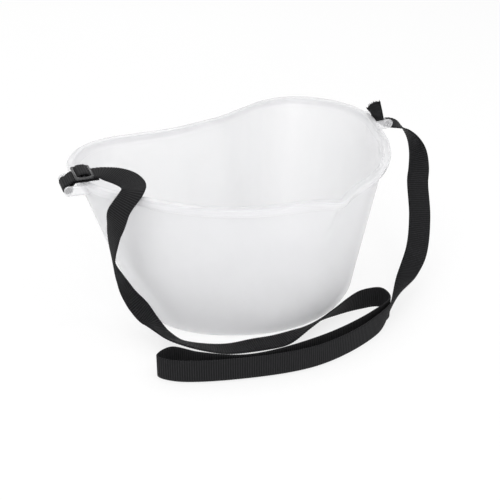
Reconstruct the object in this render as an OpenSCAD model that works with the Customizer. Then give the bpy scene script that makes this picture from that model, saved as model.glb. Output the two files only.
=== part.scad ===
// Picking bucket with a carrying strap.
// The bucket is one thin moulding: a kidney plan with a hollow back, a pouring spout in front
// and a strap lug on each side. A webbing strap joins the lugs, and a slider sets its length.
// X runs from lug to lug, +Y is the hollow back, and the floor is at Z = 0.

/* [Bucket] */
// Height from the floor to the top of the lip
bucket_h = 134; // [110:1:170]
// Width over the wall at the rim
rim_w = 294; // [270:1:330]
// Depth over the wall at the rim, without the spout
rim_d = 211; // [190:1:240]
// Width of the base outline
base_w = 208; // [185:1:225]
// Depth of the base outline
base_d = 150; // [130:1:165]
// Thickness of the side wall
wall_t = 2; // [1.4:0.1:3]
// Thickness of the floor
floor_t = 2.4; // [1.6:0.1:4]
// Outer radius between the floor and the wall
corner_r = 4; // [3.5:0.5:10]

/* [Lip] */
// How far the rolled lip stands out from the wall
lip_w = 4.6; // [3.6:0.1:6.5]
// Height of the lip
lip_h = 7.4; // [6:0.1:10]
// Thickness of the lip
lip_t = 1.8; // [1.2:0.1:2.4]
// Outer radius along the top of the lip
lip_r = 2.2; // [1:0.1:2.6]

/* [Spout] */
// How far the spout's tip stands out from the front
spout_reach = 10.5; // [4:0.5:16]
// Width of the spout where it meets the rim
spout_w = 62; // [44:1:80]
// How far down the wall the spout fades out
spout_drop = 52; // [35:1:70]

/* [Strap lugs] */
// Distance of the left lug from the bucket's middle, towards the back
left_lug_y = 43; // [38:1:48]
// How far the left lug is turned from square, in degrees
left_lug_turn = -16; // [-18:1:-10]
// Distance of the right lug from the bucket's middle, towards the back
right_lug_y = 15; // [10:1:20]
// How far the right lug is turned from square, in degrees
right_lug_turn = -9; // [-14:1:-6]
// Clear length of the slot between the two webs of a lug
lug_gap = 24; // [23:0.5:30]
// Clear width of the slot between lip and bar, at the lug's middle
slot_w = 5.6; // [5.2:0.1:7]
// Radius of the round bar
bar_r = 2.6; // [2:0.1:3.2]
// Depth of the bar's middle below the top of the lip
bar_drop = 4.2; // [4:0.1:5.5]
// Thickness of a web
web_t = 3.2; // [2.4:0.1:5]
// Radius of a web's rounded end
web_r = 4; // [3.2:0.1:4]
// Height of the round boss on a web's outside
boss_h = 0.7; // [0.3:0.1:1.5]

/* [Strap] */
// Width of the webbing
strap_w = 20; // [15:0.5:22]
// Thickness of the webbing
strap_t = 1.4; // [1:0.1:1.8]
// Clearance between the webbing and what it touches
strap_gap = 0.35; // [0.25:0.05:0.5]
// Length of the free tail laid under the strap at the slider
tail_len = 13; // [9:1:14]
// Height of the cut end's middle above the lip at the other lug
tail_rise = 10.5; // [9:0.5:14]
// How far the cut end leans inwards over the lip
tail_lean = 5; // [3:0.5:6]
// How much further in its low corner lies than its middle
tail_swing = 1.5; // [0:0.5:2.5]
// Height between the two corners of the slanting cut
cut_drop = 13; // [10:0.5:16]

/* [Slider] */
// Length of the slider along the strap
slider_l = 15.5; // [14:0.5:18]
// Width of the side rails
rail_w = 2.4; // [2:0.1:3.4]
// Clear length of the slots across the strap
slider_gap = 20.8; // [20.6:0.1:23]
// Thickness of the flat frame
slider_t = 2.2; // [1.6:0.1:3]
// Radius of the three cross bars
cross_r = 1.3; // [1.1:0.05:1.5]
// Radius of the frame's corners
slider_corner_r = 2; // [1.2:0.1:2.4]
// Distance of the slider's middle inwards from the wall at the rim
slider_in = 1; // [0.5:0.5:3]
// Length of the straight strap inwards from the wall at the rim
straight_len = 15.5; // [15.5:0.5:18]

/* [Hidden] */

$fn = 48;

// Half plan from the back middle to the front middle, as shares of half the width and half the depth
rim_shares = [[0, 0.90], [0.20, 0.91], [0.41, 0.98], [0.61, 1.03], [0.79, 0.96], [0.93, 0.75],
    [0.99, 0.47], [0.97, 0.19], [0.88, -0.06], [0.76, -0.36], [0.57, -0.66], [0.31, -0.87], [0, -0.97]];
base_shares = [[0, 0.99], [0.24, 1.00], [0.45, 1.03], [0.66, 1.01], [0.83, 0.90], [0.96, 0.68],
    [1.01, 0.38], [0.99, 0.08], [0.93, -0.21], [0.80, -0.47], [0.60, -0.71], [0.31, -0.92], [0, -0.99]];
// How sharply the spout rises to its tip, and how softly it fades down the wall
spout_tip_share = 2.2;
spout_fade_share = 1.6;
span_steps = 5;
corner_steps = 4;
wall_steps = 6;
lip_steps = 4;

// Where the bar of a lug lies, measured outwards from the wall at the rim
bar_out = lip_w + slot_w + bar_r;
bar_z = bucket_h - bar_drop;
boss_r = bar_r;

// Middle of the webbing round a bar, and its layers over the lip
loop_r = bar_r + strap_gap + strap_t / 2;
under_z = bucket_h + strap_gap + strap_t / 2;
over_z = under_z + strap_t + strap_gap;
slider_z = over_z + strap_t / 2 + strap_gap;
cross_z = slider_z + cross_r;
cross_x = slider_l / 2 - cross_r;
loop_steps = 7;
half_loop_steps = 3;

// Free route of the strap: the middle of the webbing, then the direction across it.
// From the slider over the front rim, along the floor in three runs and up to the other lug.
strap_route = [
    [[-124.5, 31, 136.5], [0.62, 0.75, 0.2]],
    [[-120, 19, 136.5], [0.82, 0.52, 0.25]],
    [[-120, 7, 137], [0.97, 0.1, 0.2]],
    [[-123.5, -4, 138], [0.87, -0.48, 0.12]],
    [[-129.5, -12, 137.6], [0.72, -0.69, 0.08]],
    [[-143.5, -15.5, 126.5], [0.51, -0.83, 0.21]],
    [[-146.5, -10, 109], [0.08, -0.95, 0.29]],
    [[-145.5, -2, 84], [-0.29, -0.82, 0.49]],
    [[-140, 4, 62], [-0.51, -0.72, 0.47]],
    [[-131, 4, 40], [-0.84, -0.52, 0.15]],
    [[-125.5, -5, 28], [-0.92, -0.36, -0.13]],
    [[-119.5, -12.5, 17], [-0.92, -0.35, 0.18]],
    [[-116, -25.5, 11], [-0.7, -0.6, 0.35]],
    [[-111, -44, 9], [-0.64, -0.6, 0.45]],
    [[-83, -66, 3], [-0.52, -0.84, 0.17]],
    [[-55, -75.5, 1.5], [-0.29, -0.95, 0]],
    [[-31, -82, 1.5], [-0.15, -0.99, 0.03]],
    [[-10, -85, 6.5], [0, -0.84, 0.54]],
    [[20, -82, 9], [-0.1, -0.6, 0.8]],
    [[54, -82, 11], [0, 0, 1]],
    [[71, -89, 11], [0, 0, 1]],
    [[67, -105, 11], [0, 0, 1]],
    [[40, -114, 11], [0, 0, 1]],
    [[-20, -119, 11], [0, 0, 1]],
    [[-85, -107, 11], [0, 0, 1]],
    [[-115, -82, 11], [0, 0, 1]],
    [[-130, -62, 11], [0, 0, 1]],
    [[-145, -66, 11], [0, 0, 1]],
    [[-138, -80, 11], [0, 0, 1]],
    [[-95, -107, 11], [0, 0, 1]],
    [[-30, -129, 11], [0, 0, 1]],
    [[40, -121, 11], [0, 0, 1]],
    [[80, -99, 12], [0.3, -0.35, 0.9]],
    [[106, -84, 18], [0.7, -0.6, 0.4]],
    [[131, -70, 32], [0.81, -0.58, 0]],
    [[150, -52, 54], [0.81, -0.58, 0]],
    [[165, -31, 78], [0.81, -0.58, 0]],
    [[172, -24, 88], [0.55, -0.82, 0.18]],
    [[177, -16, 100], [0.24, -0.91, 0.33]],
    [[177.5, -8, 110], [-0.12, -0.9, 0.42]],
    [[175, -0.5, 117.5], [-0.5, -0.74, 0.45]],
    [[170.5, 5, 122], [-0.5, -0.86, -0.04]],
    [[165, 10, 124.5], [-0.42, -0.86, -0.25]]
];
station_gap = 30;

// Smooth curve between b and c, with a and d as their neighbours
function bend(a, b, c, d, t) =
    b + (c - a) * t / 2 + (2 * a - 5 * b + 4 * c - d) * t * t / 2 + (3 * b - a - 3 * c + d) * t * t * t / 2;

// Closed plan outline from a half outline, mirrored and smoothed
function mirrored(half) =
    concat(half, [for (i = [len(half) - 2:-1:1]) [-half[i].x, half[i].y]]);
function smooth_loop(points, steps) =
    let (n = len(points))
    [for (i = [0:n - 1], k = [0:steps - 1])
        bend(points[(i + n - 1) % n], points[i], points[(i + 1) % n], points[(i + 2) % n], k / steps)];
function plan(shares, w, d) =
    smooth_loop(mirrored([for (s = shares) [s.x * w / 2, s.y * d / 2]]), span_steps);

rim_plan = plan(rim_shares, rim_w, rim_d);
base_plan = plan(base_shares, base_w, base_d);
plan_n = len(rim_plan);

// Spout: a sharp bulge of the front that fades out down the wall
function spout_side(x) = pow(max(0, 1 - abs(x) / (spout_w / 2)), spout_tip_share);
function spout_fade(z) = pow(max(0, min(1, 1 - (bucket_h - z) / spout_drop)), spout_fade_share);
function wall_point(i, z) =
    let (p = base_plan[i] + (rim_plan[i] - base_plan[i]) * z / bucket_h)
    p.y < 0 ? [p.x, p.y - spout_reach * spout_side(p.x) * spout_fade(z)] : p;

// Outward direction of the wall in plan
function unit(v) = v / norm(v);
function wall_out(i, z) =
    let (t = wall_point((i + 1) % plan_n, z) - wall_point((i + plan_n - 1) % plan_n, z))
    unit([-t.y, t.x]);
function wall_ring(out, z) =
    [for (i = [plan_n - 1:-1:0]) let (p = wall_point(i, z) + wall_out(i, z) * out) [p.x, p.y, z]];

// Section of the wall from the outside of the floor over the lip to the inside: [distance out, height]
inner_r = corner_r - wall_t;
wall_top = bucket_h - lip_t;
bead_r = wall_t / 2;
section = concat(
    [for (k = [0:corner_steps]) let (a = 90 * k / corner_steps)
        [-corner_r * (1 - sin(a)), corner_r * (1 - cos(a))]],
    [for (k = [1:wall_steps]) [0, corner_r + (wall_top - corner_r) * k / wall_steps]],
    [[lip_w - lip_t, wall_top], [lip_w - lip_t, bucket_h - lip_h], [lip_w, bucket_h - lip_h]],
    [for (k = [0:lip_steps]) let (a = 90 * k / lip_steps)
        [lip_w - lip_r * (1 - cos(a)), bucket_h - lip_r * (1 - sin(a))]],
    [for (k = [0:lip_steps]) let (a = 90 * k / lip_steps)
        [-wall_t + bead_r * (1 - sin(a)), bucket_h - bead_r * (1 - cos(a))]],
    [for (k = [1:wall_steps]) [-wall_t, wall_top - (wall_top - floor_t - inner_r) * k / wall_steps]],
    [for (k = [1:corner_steps]) let (a = 90 * k / corner_steps)
        [-wall_t - inner_r * (1 - cos(a)), floor_t + inner_r * (1 - sin(a))]]
);

// Triangles that join rings of n points one after another, closed by a face at each end
function skin_faces(rings, n) = concat(
    [[for (i = [0:n - 1]) i]],
    [for (r = [0:rings - 2], i = [0:n - 1]) let (j = (i + 1) % n)
        [r * n + i, (r + 1) * n + j, r * n + j]],
    [for (r = [0:rings - 2], i = [0:n - 1]) let (j = (i + 1) % n)
        [r * n + i, (r + 1) * n + i, (r + 1) * n + j]],
    [[for (i = [n - 1:-1:0]) (rings - 1) * n + i]]
);
module skin(rings) {
    n = len(rings[0]);
    polyhedron([for (r = rings, p = r) p], skin_faces(len(rings), n), convexity = 8);
}

// Half width of the wall at the rim where a lug stands
function rim_x(y) = lookup(y, [for (i = [0:plan_n / 2]) [rim_plan[i].y, rim_plan[i].x]]);
function rim_turn(y) = atan((rim_x(y + lug_gap / 2) - rim_x(y - lug_gap / 2)) / lug_gap);
left_place = [-rim_x(left_lug_y), left_lug_y, 0];
right_place = [rim_x(right_lug_y), right_lug_y, 0];
// How far each lug is askew to the wall behind it
left_skew = rim_turn(left_lug_y) - left_lug_turn;
right_skew = rim_turn(right_lug_y) + right_lug_turn;
function turned(turn) = [cos(turn), sin(turn), 0];
function turned_across(turn) = [-sin(turn), cos(turn), 0];

// One lug, standing out along +X from the wall
module lug(skew) {
    web_mid = lug_gap / 2 + web_t / 2;
    for (side = [-1, 1]) translate([0, side * web_mid, bar_z]) {
        web_in = side * web_mid * tan(skew) - wall_t / 2;
        translate([web_in, -web_t / 2, -web_r]) cube([bar_out - web_in, web_t, 2 * web_r]);
        translate([bar_out, web_t / 2, 0]) rotate([90, 0, 0]) cylinder(h = web_t, r = web_r);
    }
    translate([bar_out, web_mid + web_t / 2 + boss_h, bar_z])
        rotate([90, 0, 0]) cylinder(h = 2 * (web_mid + web_t / 2 + boss_h), r = boss_r);
}

module bucket() {
    color([0.9, 0.92, 0.95, 0.6]) union() {
        skin([for (s = section) wall_ring(s[0], s[1])]);
        translate(right_place) rotate(right_lug_turn) lug(right_skew);
        translate(left_place) rotate(left_lug_turn) mirror([1, 0, 0]) lug(left_skew);
    }
}

// Webbing, as a flat band swept along stations of [middle, direction across]
function across(station, along) =
    let (w = station[1]) unit(w - along * (w * along));
function band_ring(stations, k) =
    let (
        last = len(stations) - 1,
        along = unit(stations[min(k + 1, last)][0] - stations[max(k - 1, 0)][0]),
        w = across(stations[k], along) * strap_w / 2,
        up = cross(along, w) / (strap_w / 2) * strap_t / 2,
        c = stations[k][0]
    )
    [c - w - up, c + w - up, c + w + up, c - w + up];
module band(stations) {
    skin([for (k = [0:len(stations) - 1]) band_ring(stations, k)]);
}

// Free route with stations between points that lie far apart
route_n = len(strap_route);
function route_part(k, part, t) =
    bend(strap_route[max(k - 1, 0)][part], strap_route[k][part],
        strap_route[k + 1][part], strap_route[min(k + 2, route_n - 1)][part], t);
free_stations = concat(
    [for (k = [0:route_n - 2])
        let (steps = ceil(norm(strap_route[k + 1][0] - strap_route[k][0]) / station_gap))
        for (s = [0:steps - 1]) [route_part(k, 0, s / steps), route_part(k, 1, s / steps)]],
    [strap_route[route_n - 1]]
);

// Station at a lug: inwards or outwards along the lug's own direction, and up
vertical = [0, 0, 1];
left_across = turned_across(left_lug_turn);
right_across = -turned_across(right_lug_turn);
function at_left(inwards, z) =
    [left_place + turned(left_lug_turn) * inwards + vertical * z, left_across];
function at_right(outwards, z) =
    [right_place + turned(right_lug_turn) * outwards + vertical * z, right_across];

// Strap round the bar by the slider: the tail comes up through the slot, over the lip and inwards
lip_turn_r = lip_r + strap_gap + strap_t / 2;
lip_out = lip_w + strap_w / 2 * tan(left_skew);
lip_turn_angles = [90, 112, 135];
loop_start_angle = 20;
loop_turn_angle = 290;
left_stations = concat(
    [at_left(tail_len, under_z)],
    [for (a = lip_turn_angles)
        at_left(lip_r - lip_out + lip_turn_r * cos(a), bucket_h - lip_r + lip_turn_r * sin(a))],
    [for (k = [0:loop_steps]) let (a = loop_start_angle - loop_turn_angle * k / loop_steps)
        at_left(loop_r * cos(a) - bar_out, bar_z + loop_r * sin(a))],
    [at_left(-lip_out, over_z), at_left(straight_len, over_z)]
);

// Strap under the other bar, up through its slot, with a slanting cut end
lead_angle = 256;
lead_len = 6;
lead_turn_angle = lead_angle - 180;
tail_out = bar_out - loop_r;
right_stations = concat(
    [at_right(bar_out + loop_r * cos(lead_angle) - lead_len * sin(lead_angle),
        bar_z + loop_r * sin(lead_angle) + lead_len * cos(lead_angle))],
    [for (k = [0:half_loop_steps]) let (a = lead_angle - lead_turn_angle * k / half_loop_steps)
        at_right(bar_out + loop_r * cos(a), bar_z + loop_r * sin(a))],
    [at_right(tail_out, bucket_h - strap_t)]
);
function cut_corner(out, side) =
    at_right(tail_out - tail_lean + side * tail_swing + out, bucket_h + tail_rise + side * cut_drop / 2)[0]
        + right_across * side * strap_w / 2;
cut_ring = [
    cut_corner(strap_t / 2, -1),
    cut_corner(strap_t / 2, 1),
    cut_corner(-strap_t / 2, 1),
    cut_corner(-strap_t / 2, -1)
];

strap_stations = concat(left_stations, free_stations, right_stations);
module strap() {
    color([0.1, 0.1, 0.11])
        skin(concat([for (k = [0:len(strap_stations) - 1]) band_ring(strap_stations, k)], [cut_ring]));
}

// Outline of a plate with round corners, about the origin
module round_plate(l, w, r) {
    square([l - 2 * r, w], center = true);
    square([l, w - 2 * r], center = true);
    for (x = [-1, 1], y = [-1, 1]) translate([x * (l / 2 - r), y * (w / 2 - r)]) circle(r = r);
}

// Slider: a flat frame with a bar at each end and one across its middle
module slider() {
    slot_l = cross_x;
    color([0.06, 0.06, 0.07]) translate(at_left(slider_in, slider_z)[0]) rotate(left_lug_turn) {
        linear_extrude(slider_t) difference() {
            round_plate(slider_l, slider_gap + 2 * rail_w, slider_corner_r);
            for (side = [-1, 1]) translate([side * slot_l / 2, 0])
                square([slot_l, slider_gap], center = true);
        }
        for (x = [-cross_x, 0, cross_x]) translate([x, 0, cross_r])
            rotate([90, 0, 0]) cylinder(h = slider_gap + rail_w, r = cross_r, center = true);
    }
}

// The stretch of webbing that humps over the slider's middle bar
fold_r = cross_r + strap_gap + strap_t / 2;
fold_foot_z = over_z + strap_t + strap_gap;
fold_start_angle = 160;
fold_turn_angle = 140;
fold_foot = cross_x / 2 + strap_t / 2;
fold_stations = concat(
    [at_left(slider_in - fold_foot, fold_foot_z)],
    [for (k = [0:loop_steps]) let (a = fold_start_angle - fold_turn_angle * k / loop_steps)
        at_left(slider_in + fold_r * cos(a), cross_z + fold_r * sin(a))],
    [at_left(slider_in + fold_foot, fold_foot_z)]
);
module webbing_fold() {
    color([0.12, 0.12, 0.13]) band(fold_stations);
}

bucket();
strap();
slider();
webbing_fold();
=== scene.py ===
"""Picking bucket: a milky clear moulding with a black webbing strap and its slider."""

import logging
import math
from dataclasses import dataclass, field
from enum import Enum
from typing import Any

import bmesh
import bpy
import numpy as np
from mathutils import Matrix, Vector


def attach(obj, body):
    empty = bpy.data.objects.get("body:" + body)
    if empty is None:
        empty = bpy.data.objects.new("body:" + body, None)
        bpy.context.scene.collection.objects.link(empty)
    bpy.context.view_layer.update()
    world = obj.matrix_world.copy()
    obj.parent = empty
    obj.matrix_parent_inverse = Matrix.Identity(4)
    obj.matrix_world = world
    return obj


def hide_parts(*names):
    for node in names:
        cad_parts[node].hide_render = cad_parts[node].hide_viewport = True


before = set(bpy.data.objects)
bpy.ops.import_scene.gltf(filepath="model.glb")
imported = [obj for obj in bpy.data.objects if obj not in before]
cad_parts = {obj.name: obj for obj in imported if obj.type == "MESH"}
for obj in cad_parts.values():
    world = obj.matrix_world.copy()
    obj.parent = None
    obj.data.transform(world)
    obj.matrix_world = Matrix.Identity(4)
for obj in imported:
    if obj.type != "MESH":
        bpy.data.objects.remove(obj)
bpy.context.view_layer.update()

LOG = logging.getLogger("picking_bucket")
MM = 0.001

Array = np.ndarray
Spot = tuple[float, float]
Point = tuple[float, float, float]


class Body(str, Enum):
    """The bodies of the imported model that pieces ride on."""

    BUCKET = "bucket"
    SLIDER = "slider"


class Slot(str, Enum):
    """The record's material slots."""

    PLASTIC = "bucket_plastic"
    WEBBING = "strap_webbing"
    SLIDER = "slider_plastic"


def linear(hex_colour: str) -> tuple[float, float, float, float]:
    """Turns an sRGB hex colour into linear RGBA.

    Args:
        hex_colour: Six hex digits.

    Returns:
        Linear red, green, blue and an alpha of 1.
    """
    srgb = [int(hex_colour[i : i + 2], 16) / 255 for i in (0, 2, 4)]
    values = [c / 12.92 if c <= 0.04045 else ((c + 0.055) / 1.055) ** 2.4 for c in srgb]
    return (values[0], values[1], values[2], 1.0)


def add(tree: Any, kind: str, inputs: dict[Any, Any] | None = None, **settings: Any) -> Any:
    """Adds one node with its settings and its inputs.

    Args:
        tree: Node tree that takes the node.
        kind: Blender's name for the node type.
        inputs: Socket name or index to a value, an output socket, or a node whose first output is linked.
        settings: Attribute values of the node.

    Returns:
        The new node.
    """
    node = tree.nodes.new(kind)
    for name, value in settings.items():
        setattr(node, name, value)
    for key, value in (inputs or {}).items():
        if isinstance(value, bpy.types.Node):
            value = value.outputs[0]
        if isinstance(value, bpy.types.NodeSocket):
            tree.links.new(value, node.inputs[key])
        else:
            node.inputs[key].default_value = value
    return node


def unit(vectors: Array) -> Array:
    """Scales each row to length 1."""
    return vectors / np.linalg.norm(vectors, axis=-1, keepdims=True)


def blank_material(name: str) -> tuple[Any, Any]:
    """Makes a material with an empty node tree.

    Args:
        name: Name of the material.

    Returns:
        The material and its tree.
    """
    mat = bpy.data.materials.new(name)
    mat.use_nodes = True
    mat.node_tree.nodes.clear()
    return mat, mat.node_tree


def placed(name: str, data: Any) -> Any:
    """Links a new object to the scene, at the origin.

    Args:
        name: Name of the object.
        data: Its mesh, curve, lamp or camera.

    Returns:
        The object.
    """
    piece = bpy.data.objects.new(name, data)
    bpy.context.scene.collection.objects.link(piece)
    return piece


def mesh_object(name: str, vertices: Array, faces: list[tuple[int, ...]],
                edges: tuple[tuple[int, int], ...] = ()) -> Any:
    """Makes a mesh object at the origin.

    Args:
        name: Name of the piece.
        vertices: One row for each vertex, in metres.
        faces: Vertex numbers of each face.
        edges: Vertex numbers of each edge that belongs to no face.

    Returns:
        The linked object.
    """
    mesh = bpy.data.meshes.new(name)
    mesh.from_pydata(vertices.tolist(), edges, faces)
    mesh.update()
    return placed(name, mesh)


def applied(piece: Any) -> None:
    """Turns an object's modifiers into its plain mesh.

    Args:
        piece: Object with modifiers.
    """
    depsgraph = bpy.context.evaluated_depsgraph_get()
    depsgraph.update()
    mesh = bpy.data.meshes.new_from_object(piece.evaluated_get(depsgraph))
    piece.modifiers.clear()
    old, piece.data = piece.data, mesh
    mesh.name = piece.name
    bpy.data.meshes.remove(old)


def arc(middle: Spot, radius: float, start: float, end: float, count: int) -> list[Spot]:
    """Points along part of a circle, from one angle to another in degrees."""
    turns = np.radians(np.linspace(start, end, count))
    return [(middle[0] + radius * math.cos(a), middle[1] + radius * math.sin(a)) for a in turns]


def skin(shape: Any, rings: list[list[Any]]) -> None:
    """Joins rings of vertices by faces and closes both ends.

    Args:
        shape: Mesh in the making.
        rings: Rings of its vertices, all of one length.
    """
    n = len(rings[0])
    for a, b in zip(rings, rings[1:]):
        for k in range(n):
            shape.faces.new((a[k], a[(k + 1) % n], b[(k + 1) % n], b[k]))
    shape.faces.new(rings[0][::-1])
    shape.faces.new(rings[-1])


def turned_bar(shape: Any, middle: Spot, end: list[Spot], sides: int) -> None:
    """Adds a round bar along Y, whose two ends are alike.

    Args:
        shape: Mesh in the making.
        middle: Place of its axis along X and Z.
        end: Radius and place along Y of the rings at the far end, from outside in.
        sides: Sides of a ring.
    """
    rows = [(r, -y) for r, y in end] + end[::-1]
    turns = [math.tau * k / sides for k in range(sides)]
    skin(shape, [
        [shape.verts.new((middle[0] + r * math.cos(a), y, middle[1] + r * math.sin(a))) for a in turns]
        for r, y in rows])


def shape_object(name: str, shape: Any) -> Any:
    """Turns a finished shape into an object, with its faces pointing outwards.

    Args:
        name: Name of the piece.
        shape: Mesh in the making, which is freed.

    Returns:
        The linked object.
    """
    bmesh.ops.recalc_face_normals(shape, faces=shape.faces)
    mesh = bpy.data.meshes.new(name)
    shape.to_mesh(mesh)
    shape.free()
    return placed(name, mesh)


def dress(piece: Any, finish: Any, degrees: float) -> None:
    """Gives a piece its finish and smooth shading.

    Args:
        piece: Mesh object.
        finish: Its material.
        degrees: Angle between faces from which an edge stays sharp.
    """
    piece.data.materials.clear()
    piece.data.materials.append(finish)
    piece.data.shade_smooth()
    piece.data.set_sharp_from_angle(angle=math.radians(degrees))


@dataclass(frozen=True)
class NaturalPolypropylene:
    """Unpigmented polypropylene, injection moulded: milky, but shapes show through a wall."""

    # To the eye a thin milky skin on each face, denser at a slant, with a soft gloss that varies where the
    # melt flowed. The rolled lip is a little milkier and has a crisper shine
    name: str = "natural_polypropylene"
    colour: str = "E4E4E6"
    haze: float = 0.27
    edge_haze: float = 0.62
    lip_haze: float = 0.05
    lip_rough: float = 0.3
    lip_from: float = 0.1262
    lip_to: float = 0.1276
    roughness: float = 0.42
    flow_mm: float = 60.0
    flow_detail: float = 1.0
    flow_share: float = 0.15
    ior: float = 1.49
    shine: float = 0.8
    scatter: float = 0.6
    scatter_mm: float = 6.0

    def material(self) -> Any:
        """Builds the material.

        Returns:
            The material.
        """
        mat, tree = blank_material(self.name)
        low, high = self.roughness * (1 - self.flow_share), self.roughness * (1 + self.flow_share)
        coords = add(tree, "ShaderNodeTexCoord")
        flow = add(tree, "ShaderNodeTexNoise", {
            "Vector": coords.outputs["Object"], "Scale": 1 / (self.flow_mm * MM),
            "Detail": self.flow_detail})
        gloss = add(tree, "ShaderNodeMapRange", {"Value": flow, "To Min": low, "To Max": high})
        edge = add(tree, "ShaderNodeLayerWeight")
        haze = add(tree, "ShaderNodeMapRange", {
            "Value": edge.outputs["Facing"], "To Min": self.haze, "To Max": self.edge_haze})
        place = add(tree, "ShaderNodeSeparateXYZ", {"Vector": coords.outputs["Object"]})
        lip = add(tree, "ShaderNodeMapRange", {
            "Value": place.outputs["Z"], "From Min": self.lip_from, "From Max": self.lip_to})
        whole = add(tree, "ShaderNodeMath", {
            0: lip, 1: self.lip_haze, 2: haze}, operation="MULTIPLY_ADD", use_clamp=True)
        polish = add(tree, "ShaderNodeMath", {
            0: lip, 1: self.lip_rough - 1, 2: 1.0}, operation="MULTIPLY_ADD")
        matt = add(tree, "ShaderNodeMath", {0: gloss, 1: polish}, operation="MULTIPLY")
        shader = add(tree, "ShaderNodeBsdfPrincipled", {
            "Base Color": linear(self.colour), "Roughness": matt, "IOR": self.ior,
            "Specular IOR Level": self.shine, "Alpha": whole, "Subsurface Weight": self.scatter,
            "Subsurface Radius": (1.0, 1.0, 1.0), "Subsurface Scale": self.scatter_mm * MM})
        add(tree, "ShaderNodeOutputMaterial", {"Surface": shader})
        return mat


@dataclass(frozen=True)
class WovenWebbing:
    """Black polypropylene webbing: matt yarn in ribs across the strap, with fine warp lines along it."""

    # To the eye dull black yarn. Its colour is painted lighter on the tops of the ribs and warp lines, a
    # painted highlight, and darker between them, a painted shade, under a random fuzz of tone.
    # The ribs are drawn coarser than the real 1.3 mm or so, and the warp lines than 0.6 mm or so, so that
    # they show
    name: str = "woven_polypropylene_webbing"
    crest_highlight: str = "232325"
    valley_shade: str = "030304"
    rib_mm: float = 1.9
    rib_share: float = 0.5
    warp_mm: float = 1.1
    warp_share: float = 0.14
    fuzz_mm: float = 2.4
    fuzz_detail: float = 3.0
    fuzz_share: float = 0.5
    least: float = 0.22
    bump: float = 0.35
    bump_mm: float = 0.15
    roughness: float = 0.72
    shine: float = 0.18
    sheen: float = 0.02
    sheen_rough: float = 0.5

    def material(self) -> Any:
        """Builds the material.

        Returns:
            The material.
        """
        mat, tree = blank_material(self.name)
        run = add(tree, "ShaderNodeUVMap", uv_map="webbing")
        parts = add(tree, "ShaderNodeSeparateXYZ", {"Vector": run})
        weave: Any = 0.0
        for axis, pitch, share in ((0, self.warp_mm, self.warp_share), (1, self.rib_mm, self.rib_share)):
            turn = add(tree, "ShaderNodeMath", {
                0: parts.outputs[axis], 1: math.tau / pitch}, operation="MULTIPLY")
            wave = add(tree, "ShaderNodeMath", {0: turn}, operation="COSINE")
            weave = add(tree, "ShaderNodeMath", {0: wave, 1: share, 2: weave}, operation="MULTIPLY_ADD")
        coords = add(tree, "ShaderNodeTexCoord")
        fuzz = add(tree, "ShaderNodeTexNoise", {
            "Vector": coords.outputs["Object"], "Scale": 1 / (self.fuzz_mm * MM),
            "Detail": self.fuzz_detail})
        lift = add(tree, "ShaderNodeMath", {
            0: fuzz, 1: self.fuzz_share, 2: weave}, operation="MULTIPLY_ADD")
        level = add(tree, "ShaderNodeMath", {0: lift, 1: self.least}, operation="ADD", use_clamp=True)
        # Tone follows the weave: painted highlight on the tops of ribs and warp lines, painted shade
        # between them, with random fuzz added
        tone = add(tree, "ShaderNodeMix", {
            "Factor": level, 6: linear(self.valley_shade), 7: linear(self.crest_highlight)}, data_type="RGBA")
        bump = add(tree, "ShaderNodeBump", {
            "Height": level, "Strength": self.bump, "Distance": self.bump_mm * MM})
        shader = add(tree, "ShaderNodeBsdfPrincipled", {
            "Base Color": tone.outputs[2], "Roughness": self.roughness, "Sheen Weight": self.sheen,
            "Sheen Roughness": self.sheen_rough, "Specular IOR Level": self.shine, "Normal": bump})
        add(tree, "ShaderNodeOutputMaterial", {"Surface": shader})
        return mat


@dataclass(frozen=True)
class BlackAcetal:
    """Black acetal, injection moulded: a dense plastic with a smooth half gloss."""

    # To the eye near black, with grey lights along its rounded edges and a fine grain that breaks the
    # shine, drawn coarser than the real 0.1 mm or so to show
    name: str = "black_acetal"
    colour: str = "121214"
    worn: str = "1D1D20"
    grain_mm: float = 1.2
    grain_detail: float = 4.0
    smoothest: float = 0.2
    roughest: float = 0.34
    bump: float = 0.12
    bump_mm: float = 0.05
    ior: float = 1.48
    shine: float = 0.8

    def material(self) -> Any:
        """Builds the material.

        Returns:
            The material.
        """
        mat, tree = blank_material(self.name)
        coords = add(tree, "ShaderNodeTexCoord")
        grain = add(tree, "ShaderNodeTexNoise", {
            "Vector": coords.outputs["Object"], "Scale": 1 / (self.grain_mm * MM),
            "Detail": self.grain_detail})
        tone = add(tree, "ShaderNodeMix", {
            "Factor": grain, 6: linear(self.colour), 7: linear(self.worn)}, data_type="RGBA")
        gloss = add(tree, "ShaderNodeMapRange", {
            "Value": grain, "To Min": self.smoothest, "To Max": self.roughest})
        bump = add(tree, "ShaderNodeBump", {
            "Height": grain, "Strength": self.bump, "Distance": self.bump_mm * MM})
        shader = add(tree, "ShaderNodeBsdfPrincipled", {
            "Base Color": tone.outputs[2], "Roughness": gloss, "IOR": self.ior,
            "Specular IOR Level": self.shine, "Normal": bump})
        add(tree, "ShaderNodeOutputMaterial", {"Surface": shader})
        return mat


@dataclass(frozen=True)
class Rim:
    """Sizes at the rim that the strap, the slider and the moulding share, in metres."""

    z: float = 0.134
    lip_w: float = 0.0046
    lip_r: float = 0.0022
    bar_out: float = 0.0128
    bar_drop: float = 0.0042
    bar_r: float = 0.0026

    @property
    def bar_z(self) -> float:
        """Height of a bar's middle."""
        return self.z - self.bar_drop


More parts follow.
